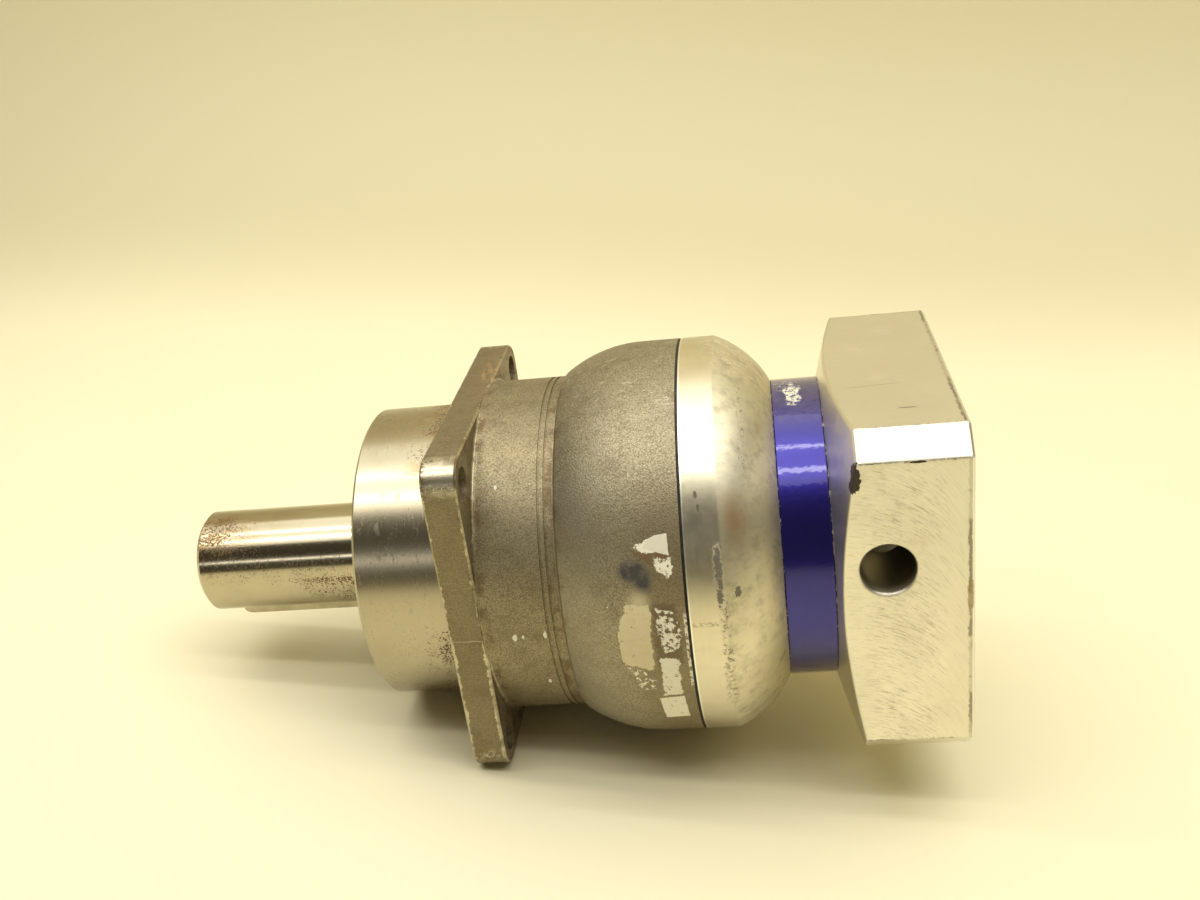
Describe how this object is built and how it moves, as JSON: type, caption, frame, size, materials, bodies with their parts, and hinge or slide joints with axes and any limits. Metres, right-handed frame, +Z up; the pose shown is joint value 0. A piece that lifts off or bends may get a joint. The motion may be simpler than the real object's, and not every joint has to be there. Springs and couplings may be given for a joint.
{
  "type": "inline planetary gear reducer",
  "caption": "Inline planetary reducer with keyed output shaft, ground pilot, square flange, bulged housing, blue ring and square motor adapter with clamping hub.",
  "frame": {"origin": "centre of the mounting flange's front face, on the gearbox axis", "axes": "+X along the gearbox axis towards the motor, so the output shaft points to -X; +Z up; -Y towards the side with the clamp access hole"},
  "size_m": [0.2332, 0.1198, 0.1198],
  "materials": {
    "blasted_housing": "blasted grey-brown coat with ground bright pilot",
    "blasted_ring_housing": "blasted grey coat",
    "turned_aluminium": "turned and polished",
    "milled_aluminium": "milled with curved marks",
    "blue_ring": "gloss blue-violet",
    "ground_steel": "ground, lightly rusted",
    "key_steel": "drawn",
    "bearing_steel": "ground and polished",
    "gear_steel": "case hardened and ground",
    "pressed_steel": "pressed",
    "brass_cage": "machined",
    "black_screws": "black oxide",
    "spring_steel": "phosphated",
    "black_rubber": "matt"
  },
  "bodies": {
    "housing": {"output_housing": "blasted_housing", "output_seal": "black_rubber", "housing_o_ring": "black_rubber", "ring_gear_housing": "blasted_ring_housing", "ring_housing_screws": "black_screws", "bell_gasket": "black_rubber", "input_bell": "turned_aluminium", "adapter_ring": "blue_ring", "motor_adapter_plate": "milled_aluminium", "adapter_screws": "black_screws", "input_seal": "black_rubber", "bell_circlip": "spring_steel", "front_bearing_cup": "bearing_steel", "rear_bearing_cup": "bearing_steel", "input_bearing_outer_race": "bearing_steel"},
    "output": {"output_shaft": "ground_steel", "output_key": "key_steel", "bearing_nut": "pressed_steel", "bearing_spacer": "pressed_steel", "planet_pins": "bearing_steel", "planet_thrust_washers": "pressed_steel", "front_bearing_cone": "bearing_steel", "rear_bearing_cone": "bearing_steel"},
    "input": {"input_shaft": "gear_steel", "clamp_ring": "gear_steel", "clamp_screw": "black_screws", "shaft_circlip": "spring_steel", "input_bearing_inner_race": "bearing_steel"},
    "front_roller_set": {"front_bearing_rollers": "bearing_steel", "front_bearing_cage": "pressed_steel"},
    "rear_roller_set": {"rear_bearing_rollers": "bearing_steel", "rear_bearing_cage": "pressed_steel"},
    "input_ball_set": {"input_bearing_balls": "bearing_steel", "input_bearing_cage": "brass_cage"},
    "planet_1": {"planet_gear_1": "gear_steel"},
    "needle_set_1": {"planet_needles_1": "bearing_steel"},
    "planet_2": {"planet_gear_2": "gear_steel"},
    "needle_set_2": {"planet_needles_2": "bearing_steel"},
    "planet_3": {"planet_gear_3": "gear_steel"},
    "needle_set_3": {"planet_needles_3": "bearing_steel"}
  },
  "joints": [
    {"name": "output_spin", "type": "hinge", "parent": "housing", "child": "output", "pos_m": [0, 0, 0], "axis": [1, 0, 0], "continuous": true},
    {"name": "input_spin", "type": "hinge", "parent": "housing", "child": "input", "pos_m": [0.11, 0, 0], "axis": [1, 0, 0], "continuous": true},
    {"name": "front_rollers_spin", "type": "hinge", "parent": "housing", "child": "front_roller_set", "pos_m": [0, 0, 0], "axis": [1, 0, 0], "continuous": true},
    {"name": "rear_rollers_spin", "type": "hinge", "parent": "housing", "child": "rear_roller_set", "pos_m": [0.025, 0, 0], "axis": [1, 0, 0], "continuous": true},
    {"name": "input_balls_spin", "type": "hinge", "parent": "housing", "child": "input_ball_set", "pos_m": [0.085, 0, 0], "axis": [1, 0, 0], "continuous": true},
    {"name": "planet_1_spin", "type": "hinge", "parent": "output", "child": "planet_1", "pos_m": [0.05725, 0, 0.02813], "axis": [1, 0, 0], "continuous": true},
    {"name": "needles_1_spin", "type": "hinge", "parent": "output", "child": "needle_set_1", "pos_m": [0.05725, 0, 0.02813], "axis": [1, 0, 0], "continuous": true},
    {"name": "planet_2_spin", "type": "hinge", "parent": "output", "child": "planet_2", "pos_m": [0.05725, -0.02436, -0.01406], "axis": [1, 0, 0], "continuous": true},
    {"name": "needles_2_spin", "type": "hinge", "parent": "output", "child": "needle_set_2", "pos_m": [0.05725, -0.02436, -0.01406], "axis": [1, 0, 0], "continuous": true},
    {"name": "planet_3_spin", "type": "hinge", "parent": "output", "child": "planet_3", "pos_m": [0.05725, 0.02436, -0.01406], "axis": [1, 0, 0], "continuous": true},
    {"name": "needles_3_spin", "type": "hinge", "parent": "output", "child": "needle_set_3", "pos_m": [0.05725, 0.02436, -0.01406], "axis": [1, 0, 0], "continuous": true}
  ],
  "couplings": [
    {"joint": "input_spin", "follows": "output_spin", "ratio": 5},
    {"joint": "front_rollers_spin", "follows": "output_spin", "ratio": 0.447},
    {"joint": "rear_rollers_spin", "follows": "output_spin", "ratio": 0.447},
    {"joint": "input_balls_spin", "follows": "output_spin", "ratio": 1.988},
    {"joint": "planet_1_spin", "follows": "output_spin", "ratio": -2.6667},
    {"joint": "needles_1_spin", "follows": "output_spin", "ratio": -1.6},
    {"joint": "planet_2_spin", "follows": "output_spin", "ratio": -2.6667},
    {"joint": "needles_2_spin", "follows": "output_spin", "ratio": -1.6},
    {"joint": "planet_3_spin", "follows": "output_spin", "ratio": -2.6667},
    {"joint": "needles_3_spin", "follows": "output_spin", "ratio": -1.6}
  ]
}
